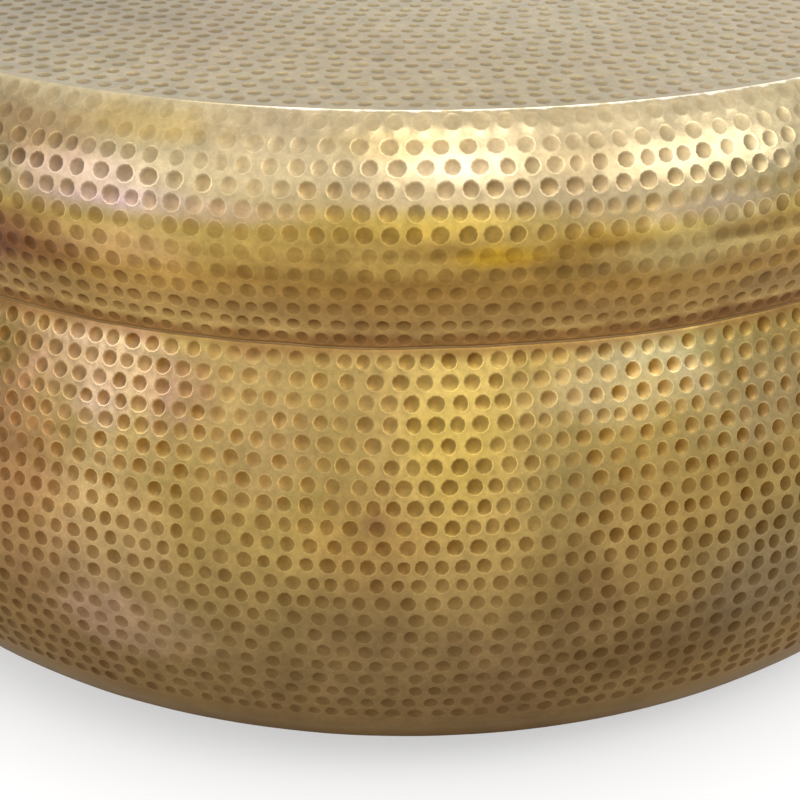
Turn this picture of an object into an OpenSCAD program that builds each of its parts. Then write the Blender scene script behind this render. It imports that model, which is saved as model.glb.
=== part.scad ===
// Drum coffee table of hammered brass sheet. The floor is at Z = 0 and the drum's axis is Z.
// The front of the table faces -Y, and the upright seams of the belly are at +X and -X.

/* [Overall] */
// Height of the table, from the floor to the top face
height = 400; // [390:1:410]
// Widest diameter, across the belly
belly_d = 914; // [904:1:924]
// Height of the belly's widest line above the floor
belly_z = 142; // [134:1:150]

/* [Top pan] */
// How far the crisp edge of the top lies inside the shoulder's ridge
edge_in = 35.5; // [30:0.5:41]
// Outer radius of the crisp edge
edge_r = 4; // [3:0.5:6]
// Tilt of the shoulder's face above level, where it leaves the crisp edge, in degrees
edge_tilt = 56; // [50:1:62]
// How far the ridge stands out from the waist crease
ridge_out = 15.5; // [12:0.5:19]
// Drop from the top face to the ridge
ridge_drop = 63; // [57:1:69]

/* [Waist] */
// How far the waist crease lies inside the belly's widest line
waist_in = 38; // [34:0.5:42]
// Drop from the top face to the waist crease
waist_drop = 118.5; // [114:0.5:124]
// Tilt of the shoulder's face below level, where it tucks in to the crease, in degrees
tuck_tilt = 20; // [14:1:26]
// Tilt of the belly's face above level, where it leaves the crease, in degrees
lean_tilt = 25; // [19:1:31]
// Width of the two flanges that meet inside the crease
waist_flange_w = 24; // [22:1:30]

/* [Heel and foot] */
// How far the line where the belly starts to turn under lies inside its widest line
heel_in = 13.5; // [11:0.5:16]
// Drop from the widest line to that line
heel_drop = 70; // [64:1:76]
// Tilt of the belly's face below level at that line, in degrees
heel_tilt = 20; // [15:1:25]
// How far inside the widest line the sheet has turned flat under the table
foot_in = 87; // [80:1:94]
// Width of the flat flange under the table
foot_flange_w = 40; // [38:1:50]

/* [Sheet] */
// Thickness of the brass sheet
sheet_t = 1.2; // [1:0.1:1.6]
// Inner radius of the bends at the waist
bend_in = 1.3; // [1:0.1:2]
// Width of the cover strap inside each upright seam
strap_w = 40; // [30:1:60]
// Thickness of the cover strap
strap_t = 1.2; // [1:0.1:2]
// Room for the brazing metal between strap and belly
braze_gap = 0.1; // [0.05:0.05:0.2]
// Distance from a strap's end to the ring next to it
strap_margin = 15; // [8:1:25]

/* [Board and rings] */
// Thickness of the plywood board under the top
board_t = 12; // [9:1:15]
// Distance from the board's rim to the crisp edge
board_margin = 8; // [6:1:14]
// Thickness of the steel ring under the waist flanges
waist_ring_t = 3; // [2:0.5:5]
// How far the ring's inner edge lies behind the edge of the flanges
waist_ring_step = 5; // [4:0.5:5.5]
// Room between that ring and the belly's bend
waist_ring_gap = 0.5; // [0.3:0.1:1]
// Thickness of the steel ring on the foot flange
foot_ring_t = 3; // [2:0.5:5]
// Width of the steel ring on the foot flange
foot_ring_w = 32; // [30:1:36]

/* [Board brackets] */
// How many brackets carry the board
bracket_count = 8; // [6:1:10]
// Thickness of a bracket's strip
bracket_t = 2; // [1.5:0.5:3]
// Width of a bracket's strip
bracket_w = 30; // [24:1:40]
// Inner radius of a bracket's bends
bracket_bend = 2; // [1.5:0.5:2.5]
// Reach of a bracket's top leg under the board
bracket_leg = 45; // [40:1:60]
// Distance from a bracket's bolt to the end of its foot
bracket_toe = 8.5; // [7:0.5:9]
// Distance from the end or bend of the top leg to the screw next to it
screw_inset = 9; // [8:1:11]

/* [Bolts] */
// Thread diameter of the bolts
bolt_d = 5; // [4:1:5]
// Diameter of a bolt's pan head
bolt_head_d = 9.5; // [9:0.5:10]
// Height of a bolt's pan head
bolt_head_h = 3; // [2:0.5:3.5]
// Width of a nut across its flats
nut_w = 8; // [7.5:0.5:9]
// Height of a nut
nut_h = 4; // [3:0.5:5]
// Diameter of a washer
washer_d = 10; // [9.5:0.5:10.5]
// Thickness of a washer
washer_t = 1; // [0.8:0.1:1.5]
// Extra width of a bolt's hole over its thread
hole_play = 0.5; // [0.3:0.1:1]
// How far a bolt stands out of its nut
thread_out = 1.5; // [1:0.5:3]
// Clearance of a thread in its nut, and of a wood screw in its pilot hole
thread_play = 0.05; // [0.02:0.01:0.1]

/* [Board screws] */
// Diameter of a wood screw's shank
screw_d = 4; // [3.5:0.5:4.5]
// Diameter of a wood screw's head
screw_head_d = 8; // [7:0.5:9]
// Height of a wood screw's head
screw_head_h = 2.2; // [1.8:0.2:3]
// How far a wood screw bites into the board
screw_bite = 7; // [5:0.5:8]
// Width of the slot in a screw's or bolt's head
slot_w = 1.2; // [0.8:0.1:1.5]
// Depth of that slot
slot_h = 1.2; // [0.8:0.1:1.5]

/* [Glides] */
// How many rubber glides the table stands on
glide_count = 6; // [4:2:10]
// Height of a glide
glide_h = 8; // [7:0.5:10]
// Diameter of a glide
glide_d = 32; // [28:1:32]
// How much smaller a glide is across its foot
glide_taper = 4; // [2:1:6]
// Bevel round a glide's foot
glide_bevel = 1; // [0.5:0.5:2]
// Diameter of the recess for the bolt's head
recess_d = 14; // [13:0.5:16]
// Depth of that recess
recess_h = 5; // [4.8:0.1:5.6]

/* [Hidden] */

$fn = 96;
// Largest turn between two points of a curved section, in degrees
step_tilt = 4;
// Overlap of a cutting shape past the face that it cuts
cut = 1;

brass = "#B8964F";
zinc = "#A9ACAE";
plywood = "#C9A574";
rubber = "#26262A";

belly_r = belly_d / 2;
waist_r = belly_r - waist_in;
ridge_r = waist_r + ridge_out;
top_r = ridge_r - edge_in;
waist_z = height - waist_drop;
bend_out = bend_in + sheet_t;
waist_hole_r = waist_r - waist_flange_w;
foot_z = glide_h;
foot_r = belly_r - foot_in;
foot_hole_r = foot_r - foot_flange_w;

// Stations of the drum's outline: radius, height and tilt of the face, which is 90 where it faces up
edge = [top_r, height - edge_r * (1 - sin(edge_tilt)), edge_tilt];
ridge = [ridge_r, height - ridge_drop, 0];
tuck = [waist_r, waist_z + bend_out * (1 - sin(tuck_tilt)), -tuck_tilt];
lean = [waist_r, waist_z - bend_out * (1 - sin(lean_tilt)), lean_tilt];
belly = [belly_r, belly_z, 0];
heel = [belly_r - heel_in, belly_z - heel_drop, -heel_tilt];
foot = [foot_r, foot_z, -90];

board_z = height - sheet_t - board_t;
board_r = top_r - board_margin;

ring_r = waist_r - bend_out * cos(lean_tilt) - waist_ring_gap;
ring_z = waist_z - sheet_t - waist_ring_t;
waist_bolt_r = (waist_hole_r + ring_r) / 2;
foot_ring_z = foot_z + sheet_t;
glide_r = foot_hole_r + foot_ring_w / 2;

bolt_count = 2 * bracket_count;
bracket_r = waist_hole_r + bracket_t;
bracket_foot_z = waist_z + sheet_t;
screw_spots = [bracket_r - bracket_leg + screw_inset, bracket_r - bracket_t - bracket_bend - screw_inset];
bolt_hole_d = bolt_d + hole_play;
waist_bolt_l = waist_ring_t + 2 * sheet_t + max(bracket_t, washer_t) + nut_h + thread_out;
glide_bolt_l = washer_t + glide_h - recess_h + sheet_t + foot_ring_t + nut_h + thread_out;

// Angle of bolt i of a ring of n, with none on a seam of the belly
function turn(i, n) = (i + 0.5) * 360 / n;

// Direction of a face with a given tilt, and the way down along that face
function outward(tilt) = [cos(tilt), sin(tilt)];
function downward(tilt) = [sin(tilt), -cos(tilt)];

// The point a given depth below the face at station s
function below(s, depth) = [s[0], s[1]] - depth * outward(s[2]);

function steps(from, to) = max(2, ceil(abs(to - from) / step_tilt));

// A bend about centre c from one tilt to another. A radius below zero is a hollow bend.
function bend(c, r, from, to) =
    let (n = steps(from, to))
    [for (i = [0:n]) let (a = from + (to - from) * i / n) [c[0] + r * cos(a), c[1] + r * sin(a), a]];

// A smooth curve from station a to station b that leaves and meets them along their faces
function sweep(a, b) =
    let (
        p0 = [a[0], a[1]],
        p3 = [b[0], b[1]],
        bow = abs(b[2] - a[2]),
        pull = norm(p3 - p0) * 2 / 3 * tan(bow / 4) / sin(bow / 2),
        p1 = p0 + pull * downward(a[2]),
        p2 = p3 - pull * downward(b[2]),
        n = steps(a[2], b[2])
    )
    [for (i = [0:n])
        let (
            u = i / n,
            v = 1 - u,
            p = v ^ 3 * p0 + 3 * v ^ 2 * u * p1 + 3 * v * u ^ 2 * p2 + u ^ 3 * p3,
            d = v ^ 2 * (p1 - p0) + 2 * v * u * (p2 - p1) + u ^ 2 * (p3 - p2)
        )
        [p[0], p[1], atan2(d[0], -d[1])]];

// A path without the points that repeat where two of its stretches meet
function merged(path) =
    [for (i = [0:len(path) - 1])
        if (i == 0 || norm([path[i][0] - path[i - 1][0], path[i][1] - path[i - 1][1]]) > 0.001) path[i]];

belly_wall = merged(concat(sweep(lean, belly), sweep(belly, heel), sweep(heel, foot)));

// Section of a sheet of thickness t whose face lies a given depth below a path
module sheet_section(path, t, depth = 0) {
    polygon(concat(
        [for (s = path) below(s, depth)],
        [for (i = [len(path) - 1:-1:0]) below(path[i], depth + t)]
    ));
}

// Copies of a child at n even steps round the axis, each at radius r and height z
module around(n, r, z) {
    for (i = [0:n - 1]) rotate([0, 0, turn(i, n)]) translate([r, 0, z]) children();
}

module flat_ring(r_in, r_out, t) {
    difference() {
        cylinder(r = r_out, h = t);
        translate([0, 0, -cut]) cylinder(r = r_in, h = t + 2 * cut);
    }
}

// A head that hangs below Z = 0, with a bevelled rim and a slot for a screwdriver
module head(d, h) {
    difference() {
        rotate_extrude()
            polygon([[0, 0], [d / 2, 0], [d / 2, -h / 2], [d / 2 - h / 2, -h], [0, -h]]);
        translate([-d, -slot_w / 2, -h - cut]) cube([2 * d, slot_w, slot_h + cut]);
    }
}

module bolt(length) {
    head(bolt_head_d, bolt_head_h);
    cylinder(d = bolt_d, h = length);
}

module nut() {
    difference() {
        cylinder(d = nut_w / cos(30), h = nut_h, $fn = 6);
        translate([0, 0, -cut]) cylinder(d = bolt_d + 2 * thread_play, h = nut_h + 2 * cut);
    }
}

module washer() {
    flat_ring(bolt_hole_d / 2, washer_d / 2, washer_t);
}

module waist_bolt_holes() {
    around(bolt_count, waist_bolt_r, ring_z - cut)
        cylinder(d = bolt_hole_d, h = waist_ring_t + 2 * sheet_t + 2 * cut);
}

module glide_bolt_holes() {
    around(glide_count, glide_r, foot_z - cut)
        cylinder(d = bolt_hole_d, h = sheet_t + foot_ring_t + 2 * cut);
}

// The flat top, the crisp edge, the shoulder and the upper waist flange, raised from one sheet
module top_pan() {
    path = merged(concat(
        [[0, height, 90]],
        bend([top_r - edge_r * cos(edge_tilt), height - edge_r], edge_r, 90, edge_tilt),
        sweep(edge, ridge),
        sweep(ridge, tuck),
        bend([waist_r - bend_out * cos(tuck_tilt), waist_z + bend_out], bend_out, -tuck_tilt, -90),
        [[waist_hole_r, waist_z, -90]]
    ));
    color(brass) difference() {
        rotate_extrude() sheet_section(path, sheet_t);
        waist_bolt_holes();
    }
}

// Half of the belly, with half of the lower waist flange and of the foot flange
module belly_half() {
    path = merged(concat(
        [[waist_hole_r, waist_z, 90]],
        bend([waist_r - bend_out * cos(lean_tilt), waist_z - bend_out], bend_out, 90, lean_tilt),
        belly_wall,
        [[foot_hole_r, foot_z, -90]]
    ));
    color(brass) rotate_extrude(angle = 180) sheet_section(path, sheet_t);
}

module belly_front() {
    color(brass) difference() {
        rotate([0, 0, 180]) belly_half();
        waist_bolt_holes();
        glide_bolt_holes();
    }
}

module belly_back() {
    color(brass) difference() {
        belly_half();
        waist_bolt_holes();
        glide_bolt_holes();
    }
}

// Cover strap brazed over an upright seam, inside the belly
module seam_strap(side) {
    angle = strap_w / belly_r * 180 / PI;
    low = foot_ring_z + foot_ring_t + strap_margin;
    high = ring_z - strap_margin;
    color(brass) rotate([0, 0, side - angle / 2]) rotate_extrude(angle = angle)
        intersection() {
            sheet_section(belly_wall, strap_t, sheet_t + braze_gap);
            translate([0, low]) square([belly_d, high - low]);
        }
}

module waist_ring() {
    color(zinc) difference() {
        translate([0, 0, ring_z]) flat_ring(waist_hole_r + waist_ring_step, ring_r, waist_ring_t);
        waist_bolt_holes();
    }
}

module foot_ring() {
    color(zinc) difference() {
        translate([0, 0, foot_ring_z]) flat_ring(foot_hole_r, foot_hole_r + foot_ring_w, foot_ring_t);
        glide_bolt_holes();
    }
}

module top_board() {
    color(plywood) difference() {
        translate([0, 0, board_z]) cylinder(r = board_r, h = board_t);
        for (i = [0:bracket_count - 1]) rotate([0, 0, turn(2 * i, bolt_count)])
            for (x = screw_spots) translate([x, 0, board_z - cut])
                cylinder(d = screw_d + 2 * thread_play, h = screw_bite + 2 * cut);
    }
}

// A bent strip from the waist flange up to the underside of the board
module board_bracket(i) {
    top_bend = bracket_bend + bracket_t;
    foot_face = bracket_foot_z + bracket_t;
    path = merged(concat(
        [[bracket_r - bracket_leg, board_z, 90]],
        bend([bracket_r - top_bend, board_z - top_bend], top_bend, 90, 0),
        bend([bracket_r + bracket_bend, foot_face + bracket_bend], -bracket_bend, 0, 90),
        [[waist_bolt_r + bracket_toe, foot_face, 90]]
    ));
    color(zinc) rotate([0, 0, turn(2 * (i - 1), bolt_count)]) difference() {
        rotate([90, 0, 0]) linear_extrude(bracket_w, center = true) sheet_section(path, bracket_t);
        translate([waist_bolt_r, 0, bracket_foot_z - cut])
            cylinder(d = bolt_hole_d, h = bracket_t + 2 * cut);
        for (x = screw_spots) translate([x, 0, board_z - bracket_t - cut])
            cylinder(d = screw_d + hole_play, h = bracket_t + 2 * cut);
    }
}

module board_screws() {
    tip_h = screw_d / 2;
    color(zinc) for (i = [0:bracket_count - 1]) rotate([0, 0, turn(2 * i, bolt_count)])
        for (x = screw_spots) translate([x, 0, board_z - bracket_t]) {
            head(screw_head_d, screw_head_h);
            rotate_extrude() polygon([
                [0, 0], [screw_d / 2, 0], [screw_d / 2, bracket_t + screw_bite - tip_h],
                [0, bracket_t + screw_bite]
            ]);
        }
}

module waist_bolts() {
    color(zinc) around(bolt_count, waist_bolt_r, ring_z) bolt(waist_bolt_l);
}

// Every second bolt holds a bracket, and each other one has a washer
module waist_washers() {
    color(zinc) for (i = [0:bracket_count - 1]) rotate([0, 0, turn(2 * i + 1, bolt_count)])
        translate([waist_bolt_r, 0, bracket_foot_z]) washer();
}

module waist_nuts() {
    color(zinc) for (i = [0:bolt_count - 1]) rotate([0, 0, turn(i, bolt_count)])
        translate([waist_bolt_r, 0, bracket_foot_z + (i % 2 == 0 ? bracket_t : washer_t)]) nut();
}

// A rubber glide, with a recess underneath for the head of its bolt
module glide(i) {
    foot_edge_r = glide_d / 2 - glide_taper / 2;
    color(rubber) rotate([0, 0, turn(i - 1, glide_count)]) translate([glide_r, 0, 0])
        rotate_extrude() polygon([
            [recess_d / 2, 0], [foot_edge_r - glide_bevel, 0], [foot_edge_r, glide_bevel],
            [glide_d / 2, glide_h], [bolt_hole_d / 2, glide_h], [bolt_hole_d / 2, recess_h],
            [recess_d / 2, recess_h]
        ]);
}

module glide_bolts() {
    color(zinc) around(glide_count, glide_r, recess_h - washer_t) bolt(glide_bolt_l);
}

module glide_washers() {
    color(zinc) around(glide_count, glide_r, recess_h - washer_t) washer();
}

module glide_nuts() {
    color(zinc) around(glide_count, glide_r, foot_ring_z + foot_ring_t) nut();
}

top_pan();
top_board();
for (i = [1:bracket_count])
    board_bracket(i);
board_screws();
belly_front();
belly_back();
seam_strap(180);  // seam_strap_left
seam_strap(0);  // seam_strap_right
waist_ring();
waist_bolts();
waist_washers();
waist_nuts();
foot_ring();
for (i = [1:glide_count])
    glide(i);
glide_bolts();
glide_washers();
glide_nuts();
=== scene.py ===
import math
import random
import bpy
from mathutils import Matrix, Vector
from mathutils.geometry import delaunay_2d_cdt


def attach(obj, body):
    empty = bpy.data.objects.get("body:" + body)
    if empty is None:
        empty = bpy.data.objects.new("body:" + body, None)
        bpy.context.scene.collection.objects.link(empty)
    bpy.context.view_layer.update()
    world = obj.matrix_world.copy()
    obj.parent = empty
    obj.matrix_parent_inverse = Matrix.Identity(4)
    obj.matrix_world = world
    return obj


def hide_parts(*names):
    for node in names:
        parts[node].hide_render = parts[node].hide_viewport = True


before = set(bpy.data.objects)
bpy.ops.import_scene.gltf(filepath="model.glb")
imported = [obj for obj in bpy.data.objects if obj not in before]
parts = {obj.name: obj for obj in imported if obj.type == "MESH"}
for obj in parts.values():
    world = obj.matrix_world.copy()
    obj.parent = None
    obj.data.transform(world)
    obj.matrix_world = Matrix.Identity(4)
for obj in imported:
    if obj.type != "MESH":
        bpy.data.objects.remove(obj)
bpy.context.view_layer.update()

# The belly is two half rounds of 1.2 mm brass sheet that meet on upright seams at the left and right.
# Each is hammered flat on a block, row by row, with a round-nosed punch, then rolled round the drum,
# bent in to a flange at the waist and turned under to a flange at the foot.
sheet = 0.0012
waist_z = 0.2815
waist_r = 0.419
flange_r = 0.395
bend_r = 0.0025
blank_r = 0.45
lip = 1.10


def bend(centre, radius, start, end, step):
    """A bend of the sheet's face: radius from the axis, height and tilt. The tilt is 90 where it looks up."""
    n = math.ceil(abs(end - start) / step)
    tilts = [math.radians(start + (end - start) * i / n) for i in range(n + 1)]
    r, z = centre
    return [(r + radius * math.cos(t), z + radius * math.sin(t), math.degrees(t)) for t in tilts]


def sweep(a, b, step=2):
    """A smooth run of the sheet's face from station a to station b."""
    down_a = Vector((math.sin(math.radians(a[2])), -math.cos(math.radians(a[2]))))
    down_b = Vector((math.sin(math.radians(b[2])), -math.cos(math.radians(b[2]))))
    p0, p3 = Vector(a[:2]), Vector(b[:2])
    bow = math.radians(abs(b[2] - a[2]))
    pull = (p3 - p0).length * 2 / 3 * math.tan(bow / 4) / math.sin(bow / 2)
    p1, p2 = p0 + pull * down_a, p3 - pull * down_b
    n = math.ceil(abs(b[2] - a[2]) / step)
    run = []
    for i in range(n + 1):
        u = i / n
        p = (1 - u) ** 3 * p0 + 3 * (1 - u) ** 2 * u * p1 + 3 * (1 - u) * u ** 2 * p2 + u ** 3 * p3
        d = (1 - u) ** 2 * (p1 - p0) + 2 * (1 - u) * u * (p2 - p1) + u ** 2 * (p3 - p2)
        run.append((p.x, p.y, math.degrees(math.atan2(d.x, -d.y))))
    return run


class Outline:
    """The drum's outline, followed by the distance down the sheet."""

    def __init__(self, name, *runs):
        self.points = []
        for point in (p for run in runs for p in run):
            if not self.points or math.dist(point[:2], self.points[-1][:2]) > 1e-5:
                self.points.append(point)
        self.down = [0.0]
        for a, b in zip(self.points, self.points[1:]):
            self.down.append(self.down[-1] + math.dist(a[:2], b[:2]))
        wire = bpy.data.curves.new(name, "CURVE")
        wire.dimensions = "3D"
        spline = wire.splines.new("POLY")
        spline.points.add(len(self.points) - 1)
        for place, (r, z, _) in zip(spline.points, self.points):
            place.co = (r, 0, z, 1)
        self.wire = bpy.data.objects.new(name, wire)
        bpy.context.scene.collection.objects.link(self.wire)

    def radius(self, s):
        """Radius of the drum at a distance down the sheet."""
        for i in range(1, len(self.down)):
            if s <= self.down[i] or i == len(self.down) - 1:
                u = (s - self.down[i - 1]) / (self.down[i] - self.down[i - 1])
                return self.points[i - 1][0] + u * (self.points[i][0] - self.points[i - 1][0])

    def reach(self, point):
        """Distance down the sheet of the outline's point nearest to a station."""
        i = min(range(len(self.points)), key=lambda k: math.dist(self.points[k][:2], point[:2]))
        return self.down[i]


lean_tilt = math.radians(25)
lean = (waist_r, waist_z - bend_r * (1 - math.sin(lean_tilt)), 25)
belly_line = (0.457, 0.142, 0)
heel = (0.4435, 0.072, -20)
foot = (0.370, 0.008, -90)
foot_rim = (0.330, 0.008, -90)
belly_outline = Outline(
    "belly_outline",
    [(flange_r, waist_z, 90)],
    bend((waist_r - bend_r * math.cos(lean_tilt), waist_z - bend_r), bend_r, 90, 25, 11),
    sweep(lean, belly_line), sweep(belly_line, heel), sweep(heel, foot),
    [foot_rim],
)


def ripple(chance, height, counts):
    """A wavy line round the drum that closes on itself, for rows that the hammer didn't keep straight."""
    waves = [(n, chance.uniform(0, 2 * math.pi), chance.uniform(0.5, 1)) for n in counts]
    total = sum(w for _, _, w in waves)
    return lambda turn: height / total * sum(w * math.sin(n * turn + p) for n, p, w in waves)


def ease(x, low, high):
    """A soft step from 0 at low to 1 at high."""
    u = min(max((x - low) / (high - low), 0), 1)
    return u * u * (3 - 2 * u)


def strike_rows(chance, outline, rows, field, start, end, closed=False):
    """Marks between two turns of the drum: place round and down, two radii and force. Each row has its
    distance down, spacing and mark radius."""
    bands = 4
    seam_land = 0.0062
    edge_land = 0.0002
    drift = [ripple(chance, 0.0018, (5, 8, 13)), ripple(chance, 0.0018, (4, 9, 11))]
    mood = [ripple(chance, 0.24, (7, 12, 19, 31)) for _ in range(bands + 1)]
    first, last = rows[0][0], rows[-1][0]

    def held(s):
        """Share of its drift that a row keeps, which is little next to the bends."""
        return 0.2 + 0.8 * ease(min(s - first, last - s), 0, 0.025)

    def row_line(s):
        """How far down a row runs at each turn: a drift shared with its neighbours and a sway of its own."""
        own = ripple(chance, 0.0003, (9, 14, 23, 31))
        u = (s - first) / (last - first)
        share = held(s)
        return lambda turn: s + share * ((1 - u) * drift[0](turn) + u * drift[1](turn) + own(turn))

    lines = [row_line(s) for s, _, _ in rows]
    marks = []
    for i, (s, spacing, size) in enumerate(rows):
        r = outline.radius(s)
        spacing *= chance.uniform(0.94, 1.07)
        edge = 0 if closed else seam_land / r
        gaps = [chance.uniform(0.78, 1.22) for _ in range(round((end - start - 2 * edge) * r / spacing))]
        turn = start + edge
        step = (end - start - 2 * edge) / sum(gaps)
        band = min(int(bands * (s - first) / (last - first)), bands - 1)
        into = bands * (s - first) / (last - first) - band
        row_land = 0.00008 + 0.00012 * held(s)
        others = [line for line in lines[max(i - 1, 0):i + 2] if line is not lines[i]]
        for gap in gaps:
            turn += gap * step / 2
            down = lines[i](turn)
            rooms = [abs(line(turn) - down) / 2 - row_land for line in others]
            room = min(rooms + [down - field[0] - edge_land, field[1] - down - edge_land]) / lip
            oval = chance.uniform(-0.05, 0.05)
            between = 0.485 * gap * step * r / lip / (1 + abs(oval))
            rho = min(size * chance.uniform(0.87, 1.10), between, 1.02 * room)
            tall = min(1.1 * rho * (1 - oval), room)
            force = chance.uniform(0.70, 1.05) + (1 - into) * mood[band](turn) + into * mood[band + 1](turn)
            wide = rho * (1 + oval) * blank_r / r
            marks.append((turn * blank_r, -down, wide, tall, min(max(force, 0.4), 1.1)))
            turn += gap * step / 2
    return marks


def lip_line(mark, sides):
    """The outer line of the lip that a blow raises round its mark, where the flat land starts."""
    x, y, rx, ry, _ = mark
    turns = [2 * math.pi * k / sides for k in range(sides)]
    return [(x + lip * rx * math.cos(t), y + lip * ry * math.sin(t)) for t in turns]


def fill_land(border, marks, sides):
    """Triangles of the sheet between its border and the lips of the marks."""
    points = [Vector(p) for p in border]
    edges = [(i, (i + 1) % len(border)) for i in range(len(border))]
    owner = [-1] * len(border)
    for m, mark in enumerate(marks):
        k = len(points)
        points += [Vector(p) for p in lip_line(mark, sides)]
        edges += [(k + i, k + (i + 1) % sides) for i in range(sides)]
        owner += [m] * sides
    verts, _, faces, old, _, _ = delaunay_2d_cdt(points, edges, [], 1, 1e-7)
    source = [o[0] if o else -1 for o in old]
    assert all(o >= 0 for o in source) and len(verts) == len(points)
    kept = []
    for face in faces:
        a, b, c = (source[v] for v in face)
        if not (owner[a] >= 0 and owner[a] == owner[b] == owner[c]):
            kept.append((a, b, c))
    return points, kept


def mesh_object(name, verts, faces, **numbers):
    """An object with a plain mesh. Each list of numbers or vectors is an attribute of its points."""
    mesh = bpy.data.meshes.new(name)
    mesh.from_pydata(verts, [], faces)
    for key, values in numbers.items():
        wide = hasattr(values[0], "__len__")
        layer = mesh.attributes.new(key, "FLOAT_VECTOR" if wide else "FLOAT", "POINT")
        if wide:
            layer.data.foreach_set("vector", [c for v in values for c in v])
        else:
            layer.data.foreach_set("value", values)
    piece = bpy.data.objects.new(name, mesh)
    bpy.context.scene.collection.objects.link(piece)
    return piece


def punch_face(sides, crest, tilt):
    """The hollow that one blow leaves, 1 wide to its rim and about 1 deep, with the crest that it throws up
    round it. The punch leans by tilt, so the hollow is steep up on the left and its crest is proudest low on
    the right."""
    deepest = 0.95
    rings = ((lip, 0.0, 0.0), (1.0, -crest, -0.9), (0.78, 0.78, tilt))
    verts, press = [], []
    for r, p, bias in rings:
        for k in range(sides):
            x, y = math.cos(2 * math.pi * k / sides), math.sin(2 * math.pi * k / sides)
            press.append(p * (1 + bias * (y - x) / math.sqrt(2)))
            verts.append((r * x, r * y, -press[-1]))
    verts.append((0, 0, -deepest))
    faces = []
    for i in (0, sides):
        for k in range(sides):
            n = (k + 1) % sides
            faces.append((i + k, i + n, i + sides + n, i + sides + k))
    faces += [(2 * sides + k, 2 * sides + (k + 1) % sides, 3 * sides) for k in range(sides)]
    return mesh_object("punch_face", verts, faces, press=press + [deepest])


def round_blank(name, outline, marks, field, start, end, columns, sides, still, closed=False):
    """A flat blank for a piece of the drum: x is the distance round, -y the distance down and z the height
    over the face. The field between two distances down is left open where the marks go."""
    first, last = field
    strip = 0.0004
    most_turn = 3.9
    most_step = 0.006
    inner_step = 0.011
    tilts = {s: point[2] for s, point in zip(outline.down, outline.points)}
    rows = [s for s in outline.down if s < first - strip or s > last + strip]
    thin = [rows[0]]
    for s in rows[1:]:
        turned = abs(tilts[s] - tilts[thin[-1]]) > most_turn
        crossed = (thin[-1] < first) != (s < first)
        if s == outline.down[-1] or turned or crossed or s - thin[-1] > most_step:
            thin.append(s)
    inner_rows = round((last - first) / inner_step)
    inner = [first + (last - first) * i / inner_rows for i in range(inner_rows + 1)]
    rows = sorted(thin + inner)
    top, low = rows.index(inner[0]), rows.index(inner[-1])
    xs = [blank_r * (start + (end - start) * j / columns) for j in range(columns + 1)]

    def free(x, s):
        """How far the sheet may wander here: not at all at the flanges and the seams, where pieces meet."""
        ends = 1.0 if closed else ease(min(x - xs[0], xs[-1] - x), 0.012, 0.045)
        return ends * ease(s, still[0], still[0] + 0.02) * (1 - ease(s, still[1] - 0.03, still[1]))

    verts, frees, faces, spot = [], [], [], {}

    def vert(i, j, deep):
        if (i, j, deep) not in spot:
            spot[i, j, deep] = len(verts)
            verts.append((xs[j], -rows[i], -sheet if deep else 0))
            frees.append(free(xs[j], rows[i]))
        return spot[i, j, deep]

    def quad(*corners):
        faces.append(tuple(vert(*corner) for corner in corners))

    end_row = len(rows) - 1
    for i in range(end_row):
        for j in range(columns):
            if not top <= i < low:
                quad((i + 1, j, 0), (i + 1, j + 1, 0), (i, j + 1, 0), (i, j, 0))
            quad((i, j, 1), (i, j + 1, 1), (i + 1, j + 1, 1), (i + 1, j, 1))
        if not closed:
            quad((i, 0, 0), (i, 0, 1), (i + 1, 0, 1), (i + 1, 0, 0))
            quad((i + 1, columns, 0), (i + 1, columns, 1), (i, columns, 1), (i, columns, 0))
    for j in range(columns):
        quad((0, j, 0), (0, j + 1, 0), (0, j + 1, 1), (0, j, 1))
        quad((end_row, j, 1), (end_row, j + 1, 1), (end_row, j + 1, 0), (end_row, j, 0))
    ring = [(low, j) for j in range(columns)] + [(i, columns) for i in range(low, top, -1)]
    ring += [(top, j) for j in range(columns, 0, -1)] + [(i, 0) for i in range(top, low)]
    points, land = fill_land([(xs[j], -rows[i]) for i, j in ring], marks, sides)
    ids = [vert(i, j, 0) for i, j in ring]
    for p in points[len(ring):]:
        ids.append(len(verts))
        verts.append((p.x, p.y, 0))
        frees.append(free(p.x, -p.y))
    faces += [tuple(ids[v] for v in face) for face in land]
    blank = mesh_object(name, verts, faces, free=frees)
    spots = mesh_object(
        name + "_marks", [(m[0], m[1], 0) for m in marks], [],
        stretch=[(m[2], m[3], m[4]) for m in marks], free=[free(m[0], -m[1]) for m in marks],
    )
    return blank, spots


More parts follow.
